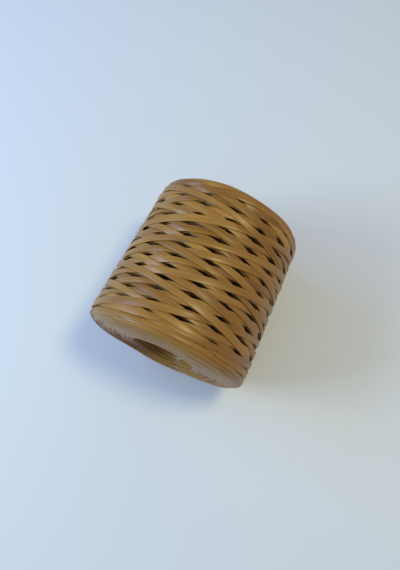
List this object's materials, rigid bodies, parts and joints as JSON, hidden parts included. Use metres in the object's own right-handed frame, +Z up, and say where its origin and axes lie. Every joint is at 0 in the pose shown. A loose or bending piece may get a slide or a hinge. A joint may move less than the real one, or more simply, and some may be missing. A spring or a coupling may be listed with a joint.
{
  "type": "ball of raffia yarn",
  "caption": "Coreless ball of flat raffia yarn, cross-wound into a soft hollow cylinder with rounded ends, lying on its side.",
  "frame": {"origin": "middle of the flat spot that the ball rests on, under the middle of its box", "axes": "+Z up, +Y along the hollow from the wider end to the narrower one, +X across"},
  "size_m": [0.1232, 0.1258, 0.117],
  "materials": {
    "raffia": "flat paper-like raffia ribbon, satin, golden tan, with fine lengthwise grain"
  },
  "bodies": {
    "root": {"raffia_ball": "raffia"}
  },
  "joints": []
}
